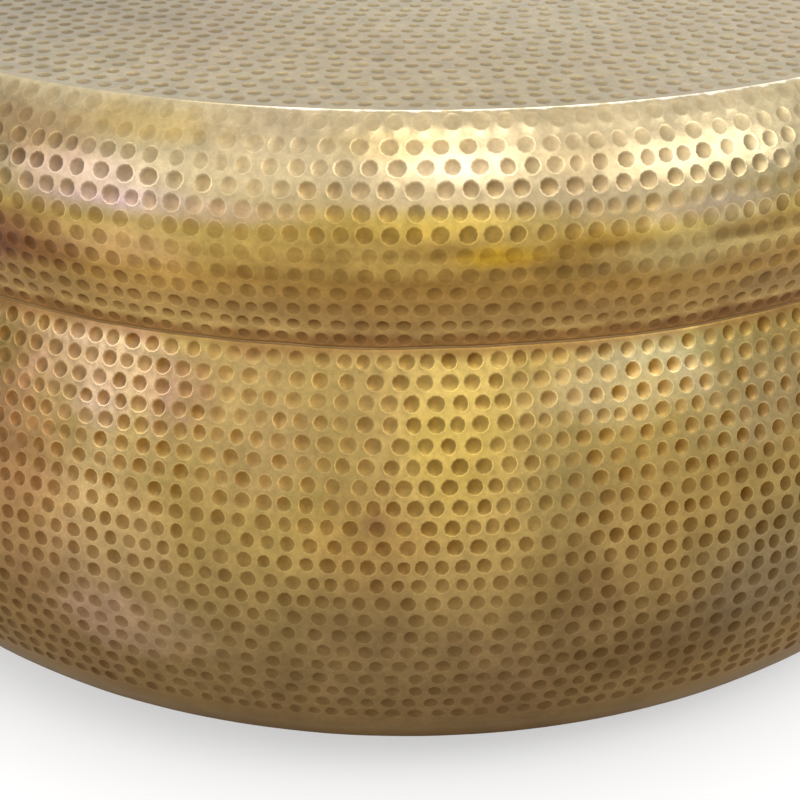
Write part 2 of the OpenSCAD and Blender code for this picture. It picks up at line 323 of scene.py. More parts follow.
class Nodes:
    """Adds nodes to a tree. The short calls return the socket that the next call takes."""

    def __init__(self, tree):
        self.tree = tree

    def add(self, kind, joined=None, **settings):
        node = self.tree.nodes.new(kind)
        for key, value in settings.items():
            setattr(node, key, value)
        for key, value in (joined or {}).items():
            if isinstance(value, bpy.types.NodeSocket):
                self.tree.links.new(value, node.inputs[key])
            else:
                node.inputs[key].default_value = value
        return node

    def math(self, operation, *values):
        return self.add("ShaderNodeMath", dict(enumerate(values)), operation=operation).outputs[0]

    def vector(self, operation, *values):
        return self.add("ShaderNodeVectorMath", dict(enumerate(values)), operation=operation).outputs[0]

    def length(self, operation, *values):
        return self.add("ShaderNodeVectorMath", dict(enumerate(values)), operation=operation).outputs["Value"]

    def scaled(self, vector, by):
        return self.add("ShaderNodeVectorMath", {0: vector, "Scale": by}, operation="SCALE").outputs[0]

    def split(self, vector):
        return self.add("ShaderNodeSeparateXYZ", {0: vector}).outputs

    def merged(self, **axes):
        return self.add("ShaderNodeCombineXYZ", axes).outputs[0]

    def spread(self, value, low, high, to_low=0.0, to_high=1.0, smooth=False):
        """Maps a value from one range to another and stops it at both ends."""
        ends = {"Value": value, "From Min": low, "From Max": high, "To Min": to_low, "To Max": to_high}
        kind = "SMOOTHSTEP" if smooth else "LINEAR"
        return self.add("ShaderNodeMapRange", ends, interpolation_type=kind).outputs[0]


class SheetTree(Nodes):
    """A Geometry Nodes tree with named inputs that takes a sheet and gives one back."""

    def __init__(self, name, inputs):
        super().__init__(bpy.data.node_groups.new(name, "GeometryNodeTree"))
        for label, kind in inputs:
            self.tree.interface.new_socket(label, in_out="INPUT", socket_type="NodeSocket" + kind)
        self.tree.interface.new_socket("Sheet", in_out="OUTPUT", socket_type="NodeSocketGeometry")
        self.given = self.add("NodeGroupInput").outputs

    def shape(self, label):
        return self.add("GeometryNodeObjectInfo", {"Object": self.given[label]}).outputs["Geometry"]

    def attribute(self, name, kind):
        node = self.add("GeometryNodeInputNamedAttribute", {"Name": name}, data_type=kind)
        return node.outputs["Attribute"]

    def together(self, *shapes):
        """Joins shapes into one, the last of them first."""
        node = self.add("GeometryNodeJoinGeometry")
        for shape in shapes:
            self.tree.links.new(shape, node.inputs[0])
        return node.outputs[0]

    def noise(self, where, seed, **settings):
        """Noise that a seed changes, as its value and its colour."""
        joined = {"Vector": where, "W": seed} | settings
        return self.add("ShaderNodeTexNoise", joined, noise_dimensions="4D").outputs

    def finished(self, geometry):
        whole = self.add("GeometryNodeRealizeInstances", {"Geometry": geometry}).outputs[0]
        dressed = self.add("GeometryNodeSetMaterial", {"Geometry": whole, "Material": self.given["Brass"]})
        self.add("NodeGroupOutput", {"Sheet": dressed.outputs[0]})
        return self.tree


hammer_inputs = (
    ("Sheet", "Geometry"), ("Marks", "Object"), ("Punch", "Object"), ("Mark depth", "Float"),
    ("Wander", "Float"), ("Wander length", "Float"), ("Wave height", "Float"), ("Wave length", "Float"),
    ("Drum radius", "Float"), ("Seed", "Float"), ("Brass", "Material"),
)


def hammering():
    """Presses the marks into the sheet and lets the sheet wander and wave as beaten sheet does."""
    tree = SheetTree("Hammer the sheet", hammer_inputs)
    given = tree.given
    deep = tree.merged(X=1.0, Y=1.0, Z=given["Mark depth"])
    blows = tree.add("GeometryNodeInstanceOnPoints", {
        "Points": tree.shape("Marks"), "Instance": tree.shape("Punch"),
        "Scale": tree.vector("MULTIPLY", tree.attribute("stretch", "FLOAT_VECTOR"), deep),
    })
    pressed = tree.add("GeometryNodeRealizeInstances", {"Geometry": blows.outputs[0]})
    both = tree.together(pressed.outputs[0], given["Sheet"])
    welded = tree.add("GeometryNodeMergeByDistance", {"Geometry": both, "Distance": 0.00002})
    place = tree.split(tree.add("GeometryNodeInputPosition").outputs[0])
    turn = tree.math("DIVIDE", place["X"], given["Drum radius"])
    outward = tree.merged(X=tree.math("SINE", turn), Y=tree.math("COSINE", turn))
    where = tree.vector("ADD", tree.scaled(outward, given["Drum radius"]), tree.merged(Z=place["Y"]))
    free = tree.attribute("free", "FLOAT")
    fine = tree.math("DIVIDE", 1.0, given["Wander length"])
    wander = tree.noise(where, given["Seed"], Scale=fine, Detail=1.0)["Color"]
    centred = tree.vector("SUBTRACT", wander, (0.5, 0.5, 0.5))
    along = tree.scaled(centred, tree.math("MULTIPLY", given["Wander"], free))
    sideways = tree.vector("MULTIPLY", along, (4.0, 4.0, 0.0))
    broad = tree.math("DIVIDE", 1.0, given["Wave length"])
    wave = tree.noise(where, given["Seed"], Scale=broad, Detail=2.5)["Fac"]
    sink = tree.math("MULTIPLY", wave, tree.math("MULTIPLY", given["Wave height"], free))
    shift = tree.vector("ADD", sideways, tree.merged(Z=tree.math("MULTIPLY", sink, -1.0)))
    moved = tree.add("GeometryNodeSetPosition", {"Geometry": welded.outputs[0], "Offset": shift})
    smooth = tree.add("GeometryNodeSetShadeSmooth", {"Geometry": moved.outputs[0], "Shade Smooth": True})
    angle = tree.add("GeometryNodeInputMeshEdgeAngle").outputs["Unsigned Angle"]
    sharp = tree.add("FunctionNodeCompare", {0: angle, 1: 0.9}, data_type="FLOAT", operation="GREATER_THAN")
    crisp = tree.add("GeometryNodeSetShadeSmooth", {
        "Geometry": smooth.outputs[0], "Selection": sharp.outputs[0], "Shade Smooth": False}, domain="EDGE")
    return tree.finished(crisp.outputs[0])


def turning(hammer):
    """Hammers the flat blank, then lays it along the outline and turns it round the drum's axis."""
    crease_inputs = (("Outline", "Object"), ("Crease height", "Float"), ("Crease sway", "Float"))
    tree = SheetTree("Turn the hammered sheet", hammer_inputs + crease_inputs)
    given = tree.given
    passed_on = {label: given[label] for label, _ in hammer_inputs}
    beaten = tree.add("GeometryNodeGroup", passed_on, node_tree=hammer)
    place = tree.split(tree.add("GeometryNodeInputPosition").outputs[0])
    down = tree.math("MULTIPLY", place["Y"], -1.0)
    along = {"Curves": tree.shape("Outline"), "Length": down}
    line = tree.add("GeometryNodeSampleCurve", along, mode="LENGTH")
    spot = tree.split(line.outputs["Position"])
    way = tree.split(line.outputs["Tangent"])
    out = tree.math("MULTIPLY_ADD", place["Z"], tree.math("MULTIPLY", way["Z"], -1.0), spot["X"])
    high = tree.math("MULTIPLY_ADD", place["Z"], way["X"], spot["Z"])
    turn = tree.math("DIVIDE", place["X"], given["Drum radius"])
    side = tree.math("MULTIPLY", tree.math("SINE", turn), out)
    front = tree.math("MULTIPLY", tree.math("MULTIPLY", tree.math("COSINE", turn), out), -1.0)
    swing = tree.noise(tree.merged(X=side, Y=front), 5.0, Scale=11.0, Detail=4.0, Roughness=0.68)["Fac"]
    rise = tree.spread(swing, 0.2, 0.8, -1.0, 1.0)
    apart = tree.math("ABSOLUTE", tree.math("SUBTRACT", high, given["Crease height"]))
    by_crease = tree.spread(apart, 0.002, 0.016, 1.0, 0.0, smooth=True)
    outside = tree.spread(out, 0.408, 0.416)
    reach = tree.math("MULTIPLY", by_crease, outside)
    sway = tree.math("MULTIPLY", rise, given["Crease sway"])
    lifted = tree.math("MULTIPLY_ADD", sway, reach, high)
    turned = tree.add("GeometryNodeSetPosition", {
        "Geometry": beaten.outputs[0], "Position": tree.merged(X=side, Y=front, Z=lifted)})
    closed = tree.add("GeometryNodeMergeByDistance", {"Geometry": turned.outputs[0], "Distance": 0.00001})
    return tree.finished(closed.outputs[0])


def beat(blank, marks, tree, name, **given):
    """Runs a tree on a blank and keeps the finished sheet as a plain mesh."""
    step = blank.modifiers.new("Hammer", "NODES")
    step.node_group = tree
    given["Marks"] = marks
    for item in tree.interface.items_tree:
        if item.item_type == "SOCKET" and item.in_out == "INPUT" and item.name in given:
            step[item.identifier] = given[item.name]
    blank.update_tag()
    depsgraph = bpy.context.evaluated_depsgraph_get()
    mesh = bpy.data.meshes.new_from_object(blank.evaluated_get(depsgraph), depsgraph=depsgraph)
    mesh.name = name
    blank.modifiers.clear()
    bpy.data.objects.remove(marks)
    piece = bpy.data.objects.new(name, mesh)
    bpy.context.scene.collection.objects.link(piece)
    bpy.data.objects.remove(blank)
    return piece


class Paint(Nodes):
    """A new material, with its patterns in the piece's own coordinates."""

    def __init__(self, name):
        self.finish = bpy.data.materials.new(name)
        self.finish.use_nodes = True
        super().__init__(self.finish.node_tree)
        self.tree.nodes.clear()
        self.where = self.add("ShaderNodeTexCoord").outputs["Object"]

    def drawn(self, scale, place=(0.0, 0.0, 0.0)):
        """Coordinates for a pattern that is drawn out along an axis."""
        joined = {"Vector": self.where, "Scale": scale, "Location": place}
        return self.add("ShaderNodeMapping", joined).outputs[0]

    def noise(self, scale, detail, roughness=0.5, at=None, distortion=0.0):
        return self.add("ShaderNodeTexNoise", {
            "Vector": self.where if at is None else at, "Scale": scale, "Detail": detail,
            "Roughness": roughness, "Distortion": distortion}).outputs["Fac"]

    def carried(self, name, part):
        """A number or vector that the piece's mesh carries."""
        return self.add("ShaderNodeAttribute", attribute_name=name, attribute_type="GEOMETRY").outputs[part]

    def mix(self, share, first, second, **settings):
        first, second = (c if isinstance(c, bpy.types.NodeSocket) else (*c, 1) for c in (first, second))
        joined = {0: share, 6: first, 7: second}
        return self.add("ShaderNodeMix", joined, data_type="RGBA", **settings).outputs[2]

    def tinted(self, colour, share, tint, **settings):
        """Multiplies a colour by a tint as far as the share goes."""
        return self.vector("MULTIPLY", colour, self.mix(share, (1, 1, 1), tint, **settings))

    def bump(self, height, strength, distance):
        joined = {"Height": height, "Strength": strength, "Distance": distance}
        return self.add("ShaderNodeBump", joined).outputs[0]

    def finished(self, colour, rough, normal, **more):
        joined = {"Base Color": colour, "Roughness": rough, "Normal": normal} | more
        shader = self.add("ShaderNodeBsdfPrincipled", joined)
        self.add("ShaderNodeOutputMaterial", {"Surface": shader.outputs[0]})
        return self.finish


def brass(name, painted_light_levels, patina, blush, dip_tint, gloss, graze, stains_and_painted_light, crease_shade=None, sway=0.0, streak_band=(),
          worn_edge_highlights=(), rim=1.33):
    """Hammered brass: a land whose colour is set by height, browner mark floors, a drifting patina and fine
    specks.
    The first argument gives heights with the land's colour at each, and sway is how far they wander up and
    down.
    These colours by height are painted light and shade: darker towards the foot and at the tuck, in place of
    the shaded floor that the metal would show there, and paler high on the shoulder, in place of the bright
    room. Each patch has a middle, a width, a height and a tint; the patches are mostly painted highlights and
    painted shade, with the odd stain among them. dip_tint tints the mark floors, as patina and as painted
    shade that is darkest on the steep upper left of each mark, and graze the sheet seen edge on. The crease
    width is how far the brown painted shade along the crease spreads, and the streak heights bound a band of
    long dark streaks. In the edge places given, the top edge is painted bright, partly as wear and partly as
    a painted highlight. rim is how much brighter the crest round a mark is, a painted highlight."""
    paint = Paint(name)
    height = paint.split(paint.where)["Z"]
    press = paint.carried("press", "Fac")
    force = paint.split(paint.carried("stretch", "Vector"))["Z"]
    hard = paint.spread(force, 0.3, 1.3, 0.25, 1.2)
    clouds = paint.noise(4.5, 3.0, 0.55)
    specks = paint.noise(260.0, 3.0, 0.7)
    stray = paint.noise(38.0, 2.0, 0.6)

    # Painted light and shade: the land's colour follows height, darker towards the foot and at the tuck,
    # paler high on the shoulder.
    low, high = painted_light_levels[0][0], painted_light_levels[-1][0]
    drift = paint.spread(paint.noise(8.0, 3.0, 0.6), 0.3, 0.7, -sway, sway)
    level = paint.spread(paint.math("ADD", height, drift), low, high)
    land = paint.add("ShaderNodeValToRGB", {"Fac": level})
    stops = land.color_ramp.elements
    for stop, colour in painted_light_levels[1:-1]:
        stops.new((stop - low) / (high - low)).color = (*colour, 1)
    stops[0].color = (*painted_light_levels[0][1], 1)
    stops[-1].color = (*painted_light_levels[-1][1], 1)

    warm = paint.tinted(land.outputs["Color"], paint.spread(clouds, 0.38, 0.66), patina)
    streaks = paint.noise(9.0, 2.0, 0.6, at=paint.drawn((1.0, 1.0, 0.35), (0.3, 0.1, 0.0)))
    warm = paint.tinted(warm, paint.spread(streaks, 0.48, 0.70, to_high=0.7), blush)
    # Painted highlights and painted shade, with the odd stain: each patch brightens or darkens the land round
    # its middle.
    for middle, wide, tall, tint in stains_and_painted_light:
        off = paint.vector("DIVIDE", paint.vector("SUBTRACT", paint.where, middle), (wide, wide, tall))
        ragged = paint.math("MULTIPLY_ADD", stray, 0.7, paint.length("LENGTH", off))
        warm = paint.tinted(warm, paint.spread(ragged, 0.55, 1.35, 1.0, 0.0, smooth=True), tint)
    # A band of long dark streaks between two heights, along the ridge.
    if streak_band:
        rub = paint.noise(11.0, 2.5, 0.55, at=paint.drawn((1.0, 1.0, 6.0)))
        above = paint.spread(height, streak_band[0], streak_band[0] + 0.01, smooth=True)
        below = paint.spread(height, streak_band[1] - 0.01, streak_band[1], 1.0, 0.0, smooth=True)
        dark = paint.spread(rub, 0.46, 0.66, to_high=paint.math("MULTIPLY", above, below))
        warm = paint.tinted(warm, dark, (0.66, 0.60, 0.55))
    # Painted shade along the crease: the land near the waist is browned and made rougher.
    if crease_shade:
        apart = paint.math("ABSOLUTE", paint.math("SUBTRACT", height, waist_z))
        ragged = paint.math("MULTIPLY_ADD", stray, 0.014, apart)
        brown = paint.spread(ragged, crease_shade + 0.0045, crease_shade + 0.011, 1.0, 0.0, smooth=True)
        warm = paint.tinted(warm, brown, (0.72, 0.60, 0.58))
    warm = paint.scaled(warm, paint.spread(paint.noise(55.0, 3.0, 0.6), 0.32, 0.68, 0.87, 1.13))
    # Partly wear and partly a painted highlight: in the places given, a thin ragged band along the top edge
    # is painted much paler and brighter.
    if worn_edge_highlights:
        bright = paint.vector("MULTIPLY", warm, (1.75, 1.95, 2.6))
        edge_band_height = paint.math("MULTIPLY_ADD", paint.noise(95.0, 2.0, 0.6), 0.0032, height)
        worn_edge_glint = paint.spread(edge_band_height, 0.4009, 0.4017, smooth=True)
        for middle, wide in worn_edge_highlights:
            away = paint.length("DISTANCE", paint.where, middle)
            warm = paint.mix(paint.spread(away, 0.7 * wide, wide, worn_edge_glint, 0.0, smooth=True), warm, bright)

    skin = paint.scaled(warm, paint.spread(specks, 0.35, 0.7, 0.86, 1.08))
    # Painted highlight: the crest round each mark is painted brighter, most where it stands proudest, low on
    # the right.
    crest_highlight_mask = paint.math("MULTIPLY", paint.spread(press, -0.07, 0.0, 1.0, 0.0), hard)
    skin = paint.tinted(skin, crest_highlight_mask, (rim, rim, rim))
    # Patina and painted shade in the marks: walls and floors are tinted browner, darkest where the tilted
    # punch went deepest, on the upper left.
    wall = paint.spread(press, 0.02, 0.28, to_high=0.74)
    floor = paint.spread(press, 0.42, 1.15, to_high=0.56)
    hollow_patina_and_shade = paint.math("MULTIPLY", paint.math("ADD", wall, floor), hard)
    skin = paint.tinted(skin, hollow_patina_and_shade, dip_tint, clamp_factor=False)
    dull = paint.math("MULTIPLY_ADD", press, 0.22, paint.spread(clouds, 0.3, 0.7, gloss, gloss + 0.08))
    dull = paint.math("ADD", dull, paint.spread(height, 0.01, 0.07, 0.24, 0.0))
    if crease_shade:
        dull = paint.math("MULTIPLY_ADD", brown, 0.22, dull)
    # Painted shade: the reflectance tint darkens towards the foot, in place of the shaded floor that the heel
    # would reflect.
    heel_shade_tint = (0.45 * graze[0], 0.30 * graze[1], 0.17 * graze[2])
    sheen = paint.mix(paint.spread(height, 0.012, 0.045), heel_shade_tint, graze)
    grit = paint.bump(specks, 0.12, 0.0004)
    return paint.finished(skin, dull, grit, **{"Metallic": 1.0, "Specular Tint": sheen})


hammer = hammering()
round_turn = turning(hammer)
punch = punch_face(10, 0.06, 0.50)
belly_brass = brass(
    "belly_brass",
    # Painted shade: the belly's land darkens towards the foot.
    painted_light_levels=((0.02, (0.055, 0.028, 0.008)), (0.065, (0.195, 0.124, 0.053)), (0.13, (0.250, 0.166, 0.063)),
            (0.19, (0.42, 0.290, 0.086)), (0.25, (0.51, 0.370, 0.112))),
    patina=(0.80, 0.76, 0.80), blush=(0.94, 0.88, 1.03), dip_tint=(0.60, 0.505, 0.39), gloss=0.23,
    graze=(0.82, 0.70, 0.55), crease_shade=0.0036, sway=0.010,
    # Mostly painted highlights and painted shade on the belly, with the odd stain.
    stains_and_painted_light=(
        ((-0.164, -0.412, 0.217), 0.024, 0.075, (1.12, 1.14, 1.25)),
        ((0.027, -0.438, 0.228), 0.040, 0.055, (0.97, 0.99, 0.80)),
        ((0.087, -0.436, 0.210), 0.036, 0.070, (0.84, 0.86, 0.95)),
        ((-0.206, -0.395, 0.175), 0.045, 0.13, (1.15, 1.10, 1.08)),
        ((-0.014, -0.449, 0.195), 0.013, 0.010, (0.75, 0.68, 0.78)),
        ((-0.116, -0.416, 0.253), 0.034, 0.028, (0.84, 0.76, 0.90)),
        ((0.140, -0.405, 0.255), 0.040, 0.035, (1.16, 1.16, 1.10)),
        ((0.210, -0.395, 0.175), 0.045, 0.045, (0.90, 0.90, 0.90)),
        ((-0.160, -0.420, 0.180), 0.055, 0.10, (1.30, 1.29, 1.65)),
        ((-0.220, -0.385, 0.200), 0.052, 0.10, (0.90, 0.80, 1.00)),
        ((0.120, -0.410, 0.258), 0.070, 0.028, (1.30, 1.40, 2.05)),
        ((0.190, -0.390, 0.240), 0.080, 0.040, (1.10, 1.17, 1.55)),
        ((0.200, -0.400, 0.135), 0.075, 0.075, (0.93, 1.03, 1.34)),
        ((-0.155, -0.402, 0.256), 0.060, 0.034, (1.28, 1.29, 2.10)),
        ((-0.165, -0.388, 0.276), 0.080, 0.012, (1.32, 1.36, 1.60)),
        ((-0.205, -0.390, 0.235), 0.035, 0.030, (1.32, 1.32, 1.44)),
        ((0.135, -0.392, 0.272), 0.050, 0.014, (1.15, 1.28, 1.60)),
        ((-0.020, -0.450, 0.185), 0.050, 0.040, (0.94, 0.88, 0.84)),
        ((-0.150, -0.425, 0.115), 0.070, 0.03, (1.35, 1.37, 1.75)),
        ((-0.085, -0.425, 0.238), 0.060, 0.060, (1.13, 1.09, 1.34)),
        ((0.088, -0.446, 0.155), 0.050, 0.046, (0.72, 0.69, 0.71)),
        ((0.145, -0.420, 0.100), 0.080, 0.034, (0.80, 0.78, 0.78)),
        ((-0.025, -0.455, 0.140), 0.045, 0.035, (0.84, 0.82, 0.84)),
        ((0.125, -0.420, 0.225), 0.035, 0.040, (1.12, 1.12, 1.10)),
        ((-0.150, -0.400, 0.262), 0.110, 0.034, (1.00, 0.965, 1.05)),
    ))
crease = belly_outline.reach(lean)
heel_end = belly_outline.reach(foot)
first_row = crease + 0.0056
row_gap = 0.01097
belly_spacing = 0.0118
belly_mark_r = 0.00475
belly_rows = [(first_row + row_gap * k, belly_spacing, belly_mark_r) for k in range(21)]
belly_field = (crease + 0.0002, crease + 0.2320)
belly_play = {
    "Mark depth": 0.0007, "Wander": 0.0004, "Wander length": 0.006, "Wave height": 0.0010,
    "Wave length": 0.07, "Drum radius": blank_r, "Seed": 3.0, "Crease height": waist_z, "Crease sway": 0.0015,
}


def belly_force(mark):
    """The blows fall harder either side of the middle and softer lower down."""
    lower = ease(-mark[1], belly_rows[8][0], belly_rows[15][0])
    aside = 0.28 * ease(mark[0], 0.06, 0.15) + 0.15 * ease(-mark[0], 0.06, 0.15)
    return mark[:4] + (mark[4] * ((1 - 0.3 * lower) * (1 + aside)),)


for half, name in enumerate(("belly_front", "belly_back")):
    chance = random.Random(20 + half)
    start, end = (half - 0.5) * math.pi, (half + 0.5) * math.pi
    blows = strike_rows(chance, belly_outline, belly_rows, belly_field, start, end)
    blows = [belly_force(mark) for mark in blows]
    blank, spots = round_blank(
        name + "_blank", belly_outline, blows, belly_field, start, end, 120, 10, (crease, heel_end))
    half_round = beat(
        blank, spots, round_turn, "hammered_" + name,
        Punch=punch, Outline=belly_outline.wire, Brass=belly_brass, **belly_play)
    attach(half_round, "root")
    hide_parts(name)

# Two cover straps of plain brass are brazed over the upright seams inside the belly, where the hammer
# never reached, and keep the dull skin that the torch left.


def plain_metal(name, colour, dark, rough, grain):
    """Metal with an uneven skin and short scratches."""
    paint = Paint(name)
    fine = paint.noise(grain, 3.0, 0.7)
    tint = paint.mix(paint.spread(paint.noise(24.0, 4.0, 0.6), 0.35, 0.68), colour, dark)
    worn = paint.spread(fine, 0.3, 0.7, rough, rough + 0.16)
    return paint.finished(tint, worn, paint.bump(fine, 0.15, 0.0003), Metallic=1.0)


def dress(finish, *names):
    for name in names:
        parts[name].data.materials.clear()
        parts[name].data.materials.append(finish)


strap_brass = plain_metal("strap_brass", (0.50, 0.36, 0.15), (0.30, 0.19, 0.09), 0.42, 300.0)
dress(strap_brass, "seam_strap_left", "seam_strap_right")

# A flat ring of zinc-plated steel lies on the belly's lower flange, as a washer for the glides all round,
# and another under the two flanges at the waist.
ring_zinc = plain_metal("ring_zinc", (0.58, 0.59, 0.60), (0.44, 0.45, 0.47), 0.36, 500.0)
dress(ring_zinc, "foot_ring", "waist_ring")

# Six moulded rubber glides carry the table. Each is drawn up to the foot ring by a bolt in its recess,
# and its matt black skin has fine pores and a little pale dust.
rubber = Paint("glide_rubber")
dusty = rubber.spread(rubber.noise(90.0, 4.0, 0.65), 0.45, 0.75)
grey = rubber.mix(dusty, (0.018, 0.018, 0.019), (0.05, 0.048, 0.045))
pores = rubber.bump(rubber.noise(900.0, 2.0), 0.25, 0.0002)
dress(rubber.finished(grey, 0.72, pores), *(f"glide_{i}" for i in range(1, 7)))

# The bolts, washers and nuts are plain steel ones with a zinc plating. They are bought in, and a little
# brighter than the rings.
bolt_zinc = plain_metal("bolt_zinc", (0.66, 0.66, 0.65), (0.52, 0.50, 0.46), 0.28, 900.0)
dress(bolt_zinc, "glide_bolts", "glide_washers", "glide_nuts", "waist_bolts", "waist_washers", "waist_nuts")

# Eight brackets are bent from zinc-plated steel strip. They stand on the waist flanges and carry the
# board under the top, with two wood screws each.
bracket_zinc = plain_metal("bracket_zinc", (0.55, 0.56, 0.57), (0.42, 0.42, 0.43), 0.40, 420.0)
dress(bracket_zinc, *(f"board_bracket_{i}" for i in range(1, 9)))
dress(bolt_zinc, "board_screws")

# The board is cut round from 12 mm plywood and left bare. It shows long grain underneath and its plies
# at the rim, and it keeps the thin top flat.
ply = 0.0024
plywood = Paint("bare_plywood")
warp = plywood.noise(1.0, 4.0, 0.6, at=plywood.drawn((2.2, 26.0, 26.0)), distortion=0.6)
fibre = plywood.noise(1.0, 2.0, at=plywood.drawn((12.0, 700.0, 700.0)))
height = plywood.split(plywood.where)["Z"]
plies = plywood.spread(plywood.math("PINGPONG", plywood.math("DIVIDE", height, ply), 2.0), 0.9, 1.1)
facing = plywood.split(plywood.add("ShaderNodeNewGeometry").outputs["True Normal"])["Z"]
upright = plywood.math("LESS_THAN", plywood.math("ABSOLUTE", facing), 0.5)
face = plywood.mix(plywood.spread(warp, 0.35, 0.65), (0.60, 0.42, 0.24), (0.42, 0.27, 0.14))
wood = plywood.mix(plywood.math("MULTIPLY", plies, upright), face, (0.24, 0.14, 0.07))
dress(plywood.finished(wood, 0.68, plywood.bump(fibre, 0.3, 0.0003)), "top_board")

# The top pan is one sheet of the same brass. Its shoulder is raised over a stake and hammered in rounds,
# turned crisply at the top and tucked in to the waist, where its flange is bolted to the belly's.
top_z = 0.400
edge_bend = 0.004
edge_r = 0.399
edge_tilt = math.radians(56)
tuck_tilt = math.radians(20)
edge = (edge_r, top_z - edge_bend * (1 - math.sin(edge_tilt)), 56)
ridge = (0.4345, 0.337, 0)
tuck = (waist_r, waist_z + bend_r * (1 - math.sin(tuck_tilt)), -20)
shoulder_outline = Outline(
    "shoulder_outline",
    bend((edge_r - edge_bend * math.cos(edge_tilt), top_z - edge_bend), edge_bend, 90, 56, 4),
    sweep(edge, ridge), sweep(ridge, tuck),
    bend((waist_r - bend_r * math.cos(tuck_tilt), waist_z + bend_r), bend_r, -20, -90, 11),
    [(flange_r, waist_z, -90)],
)
tuck_end = shoulder_outline.reach(tuck)
shoulder_spacing = 0.01235
shoulder_mark_r = 0.0050
shoulder_rows = [(0.0078, shoulder_spacing, shoulder_mark_r)]
for k in range(1, 11):
    raised = 0.0006 if k == 10 else 0
    down = 0.0100 + (tuck_end - 0.0115) * k / 11 - raised
    spacing = shoulder_spacing - 0.0019 * ease(k, 5.5, 9)
    shoulder_rows.append((down, spacing, shoulder_mark_r - 0.0002 * ease(k, 5.5, 8)))
shoulder_rows.append((tuck_end - 0.0043, 0.0104, 0.0048))
shoulder_field = (0.0012, tuck_end)
rub = (0.35, 0.50, 0.72, 1.0, 1.0, 0.95, 0.46, 0.60, 0.58, 0.60, 0.62, 0.62)


def after_rubbing(mark):
    """Years of hands rubbing have made the rows by the top edge and along the ridge fainter, least at the
    left.
    """
    k = min(range(len(rub)), key=lambda k: abs(shoulder_rows[k][0] + mark[1]))
    kept = 0.6 * ease(-mark[0], 0.09, 0.17) * ease(k, 4, 6)
    return mark[:4] + (mark[4] * (rub[k] + (1 - rub[k]) * kept),)


chance = random.Random(41)
blows = strike_rows(chance, shoulder_outline, shoulder_rows, shoulder_field, -math.pi, math.pi, closed=True)
blows = [after_rubbing(mark) for mark in blows]
shoulder_brass = brass(
    "shoulder_brass",
    # Painted light and shade: pale high on the shoulder, dark at the tuck and lighter again by the crease.
    painted_light_levels=((0.287, (0.47, 0.315, 0.108)), (0.300, (0.330, 0.203, 0.066)), (0.320, (0.345, 0.204, 0.052)),
            (0.348, (0.520, 0.370, 0.102)), (0.368, (0.56, 0.455, 0.26)), (0.395, (0.56, 0.46, 0.27))),
    patina=(0.84, 0.80, 0.78), blush=(0.96, 0.91, 1.0), dip_tint=(0.63, 0.56, 0.46), gloss=0.23,
    graze=(1.0, 0.97, 0.92), crease_shade=0.0075, sway=0.007, streak_band=(0.312, 0.352), rim=1.36,
    # Mostly painted highlights and painted shade on the shoulder, with the odd stain.
    stains_and_painted_light=(
        ((-0.195, -0.370, 0.382), 0.070, 0.022, (0.80, 0.69, 0.60)),
        ((-0.215, -0.378, 0.328), 0.064, 0.028, (0.68, 0.51, 0.84)),
        ((-0.165, -0.398, 0.353), 0.060, 0.009, (1.22, 1.24, 1.75)),
        ((0.192, -0.382, 0.303), 0.040, 0.013, (0.70, 0.68, 0.70)),
        ((-0.140, -0.410, 0.335), 0.055, 0.018, (1.14, 1.08, 1.55)),
        ((0.150, -0.400, 0.333), 0.080, 0.020, (1.12, 1.28, 1.85)),
        ((0.015, -0.430, 0.354), 0.075, 0.012, (1.12, 1.08, 0.62)),
        ((0.000, -0.410, 0.388), 0.060, 0.010, (0.90, 0.86, 0.74)),
        ((-0.165, -0.395, 0.366), 0.065, 0.018, (1.10, 1.05, 1.36)),
        ((-0.125, -0.388, 0.390), 0.065, 0.012, (1.04, 0.95, 0.70)),
        ((0.046, -0.432, 0.337), 0.032, 0.009, (1.45, 1.40, 0.60)),
        ((0.182, -0.393, 0.341), 0.050, 0.008, (0.62, 0.55, 0.50)),
        ((0.165, -0.400, 0.352), 0.060, 0.010, (1.08, 1.14, 1.80)),
        ((0.100, -0.422, 0.342), 0.045, 0.007, (0.66, 0.58, 0.46)),
        ((0.090, -0.425, 0.325), 0.030, 0.008, (0.78, 0.78, 0.84)),
        ((0.027, -0.417, 0.382), 0.036, 0.018, (1.14, 1.15, 1.25)),
        ((-0.070, -0.412, 0.368), 0.050, 0.028, (1.18, 1.18, 1.12)),
        ((0.130, -0.403, 0.358), 0.040, 0.016, (1.24, 1.24, 1.20)),
        ((0.086, -0.415, 0.381), 0.030, 0.018, (0.78, 0.76, 0.72)),
        ((-0.110, -0.415, 0.356), 0.075, 0.009, (1.22, 1.18, 1.60)),
        ((0.115, -0.413, 0.345), 0.035, 0.010, (1.25, 1.25, 1.15)),
        ((-0.128, -0.408, 0.312), 0.055, 0.032, (1.22, 1.22, 1.20)),
        ((0.120, -0.415, 0.325), 0.050, 0.012, (0.86, 0.86, 0.86)),
        ((0.165, -0.385, 0.287), 0.085, 0.007, (0.74, 0.69, 0.76)),
    ),
    # Places where the top edge is painted bright, partly wear and partly a painted highlight.
    worn_edge_highlights=(
        ((0.07, -0.393, 0.4), 0.165), ((0.225, -0.33, 0.4), 0.06),
        ((-0.32, 0.24, 0.4), 0.20), ((0.33, 0.22, 0.4), 0.16),
    ))
blank, spots = round_blank(
    "shoulder_blank", shoulder_outline, blows, shoulder_field, -math.pi, math.pi, 360, 10,
    (0.0, tuck_end + 0.002), closed=True)
shoulder_play = belly_play | {"Wave height": 0.0013, "Wave length": 0.06, "Seed": 7.0}
shoulder = beat(
    blank, spots, round_turn, "hammered_shoulder",
    Punch=punch, Outline=shoulder_outline.wire, Brass=shoulder_brass, **shoulder_play)
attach(shoulder, "root")
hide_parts("top_pan")

